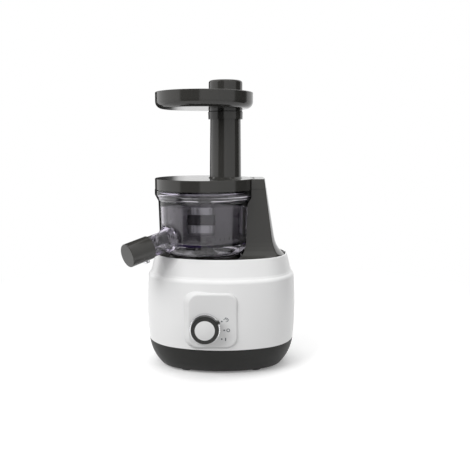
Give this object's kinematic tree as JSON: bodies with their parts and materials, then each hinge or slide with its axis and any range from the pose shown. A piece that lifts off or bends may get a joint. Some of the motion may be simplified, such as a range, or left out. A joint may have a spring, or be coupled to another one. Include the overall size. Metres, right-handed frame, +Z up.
{
  "type": "cold press juicer",
  "caption": "Upright slow juicer: oval motor base with a front knob, a tower, a smoky clear bowl with strainer and auger, a capped spout, a lid with feed tube, a round tray and a pusher.",
  "frame": {"origin": "on the worktop, under the centre of the oval base", "axes": "+Z up, -Y out of the front with the control knob, +X to the right of someone facing the knob"},
  "size_m": [0.2501, 0.187, 0.42],
  "materials": {
    "white_shell": "satin gloss white plastic",
    "dark_plastic": "gloss dark grey plastic",
    "skirt_plastic": "satin dark grey plastic",
    "smoke_clear": "smoky clear plastic",
    "clear_plastic": "clear plastic",
    "strainer_plastic": "satin grey plastic",
    "brush_plastic": "satin grey plastic",
    "mesh_steel": "perforated stainless sheet",
    "silicone": "soft silicone",
    "black_rubber": "matt black rubber",
    "panel_plastic": "satin light grey plastic",
    "chrome_trim": "bright ribbed trim",
    "steel": "turned steel",
    "gear_plastic": "natural acetal",
    "copper_wire": "enamelled copper wire",
    "board": "green laminate",
    "dark_case": "moulded black plastic"
  },
  "bodies": {
    "base": {"base_housing": "white_shell", "base_pan": "skirt_plastic", "rubber_feet": "black_rubber", "cord_gland": "black_rubber", "deck_tower": "dark_plastic", "tower_cap": "dark_plastic", "control_panel": "panel_plastic", "rotary_switch": "dark_case", "motor_can": "steel", "motor_bracket": "steel", "motor_bearings": "steel", "motor_stator": "steel", "motor_windings": "copper_wire", "screws": "steel", "gearbox_case": "dark_case", "gearbox_cover": "dark_case", "intermediate_pin": "steel", "shaft_bush": "copper_wire", "shaft_seal": "black_rubber", "gearbox_dampers": "black_rubber", "circuit_board": "board", "board_components": "dark_case", "reed_switch": "dark_case"},
    "knob": {"control_knob": "dark_plastic", "knob_sleeve": "chrome_trim", "knob_cap": "panel_plastic", "switch_shaft": "steel"},
    "rotor": {"motor_rotor": "steel", "motor_shaft": "steel", "motor_fan": "dark_case"},
    "intermediate": {"intermediate_gear": "gear_plastic"},
    "output": {"output_gear": "gear_plastic", "drive_shaft": "steel"},
    "bowl": {"juice_bowl": "smoke_clear", "bowl_rim": "smoke_clear", "bowl_floor": "smoke_clear", "juice_spout": "smoke_clear", "pulp_outlet": "smoke_clear", "strainer_floor": "strainer_plastic", "pulp_seal": "silicone", "spout_seal": "silicone", "bowl_hub_seal": "silicone", "idler_pin": "steel", "strainer_frame": "strainer_plastic", "strainer_mesh": "mesh_steel"},
    "cap": {"spout_cap": "dark_plastic", "pour_nozzle": "clear_plastic"},
    "auger": {"auger": "dark_case", "sun_gear": "dark_case", "auger_socket": "steel"},
    "idler": {"idler_gear": "gear_plastic"},
    "brush": {"brush_frame": "brush_plastic", "wiper_blades": "silicone"},
    "lid": {"lid": "dark_plastic", "feed_tube": "dark_plastic", "lid_gasket": "silicone", "safety_magnet": "steel"},
    "tray": {"feed_tray": "dark_plastic"},
    "pusher": {"pusher_stem": "dark_plastic", "pusher_head": "dark_plastic"}
  },
  "joints": [
    {"name": "knob_turn", "type": "hinge", "parent": "base", "child": "knob", "pos_m": [-0.0226, -0.0801, 0.076], "axis": [0, -1, 0], "range_deg": [-60, 0]},
    {"name": "rotor_spin", "type": "hinge", "parent": "base", "child": "rotor", "pos_m": [-0.0247, 0, 0.06], "axis": [0, 0, 1], "continuous": true},
    {"name": "intermediate_spin", "type": "hinge", "parent": "base", "child": "intermediate", "pos_m": [0.0113, 0, 0.11], "axis": [0, 0, 1], "continuous": true},
    {"name": "output_spin", "type": "hinge", "parent": "base", "child": "output", "pos_m": [-0.0247, 0, 0.15], "axis": [0, 0, 1], "continuous": true},
    {"name": "bowl_lift", "type": "slide", "parent": "base", "child": "bowl", "axis": [0, 0, 1], "range_m": [0, 0.16]},
    {"name": "cap_turn", "type": "hinge", "parent": "bowl", "child": "cap", "pos_m": [-0.11564, -0.07364, 0.18221], "axis": [-0.7578, -0.6137, -0.2215], "range_deg": [0, 90]},
    {"name": "auger_spin", "type": "hinge", "parent": "bowl", "child": "auger", "pos_m": [-0.0247, 0, 0.22], "axis": [0, 0, 1], "continuous": true},
    {"name": "idler_spin", "type": "hinge", "parent": "bowl", "child": "idler", "pos_m": [0.0083, 0, 0.195], "axis": [0, 0, 1], "continuous": true},
    {"name": "brush_spin", "type": "hinge", "parent": "bowl", "child": "brush", "pos_m": [-0.0247, 0, 0.22], "axis": [0, 0, 1], "continuous": true},
    {"name": "lid_lift", "type": "slide", "parent": "bowl", "child": "lid", "axis": [0, 0, 1], "range_m": [0, 0.1]},
    {"name": "tray_lift", "type": "slide", "parent": "lid", "child": "tray", "axis": [0, 0, 1], "range_m": [0, 0.06]},
    {"name": "pusher_slide", "type": "slide", "parent": "tray", "child": "pusher", "axis": [0, 0, 1], "range_m": [0, 0.15]}
  ],
  "couplings": [
    {"joint": "intermediate_spin", "follows": "rotor_spin", "ratio": -0.2},
    {"joint": "output_spin", "follows": "rotor_spin", "ratio": 0.05},
    {"joint": "auger_spin", "follows": "rotor_spin", "ratio": 0.05},
    {"joint": "idler_spin", "follows": "rotor_spin", "ratio": -0.036842},
    {"joint": "brush_spin", "follows": "rotor_spin", "ratio": -0.013462}
  ]
}
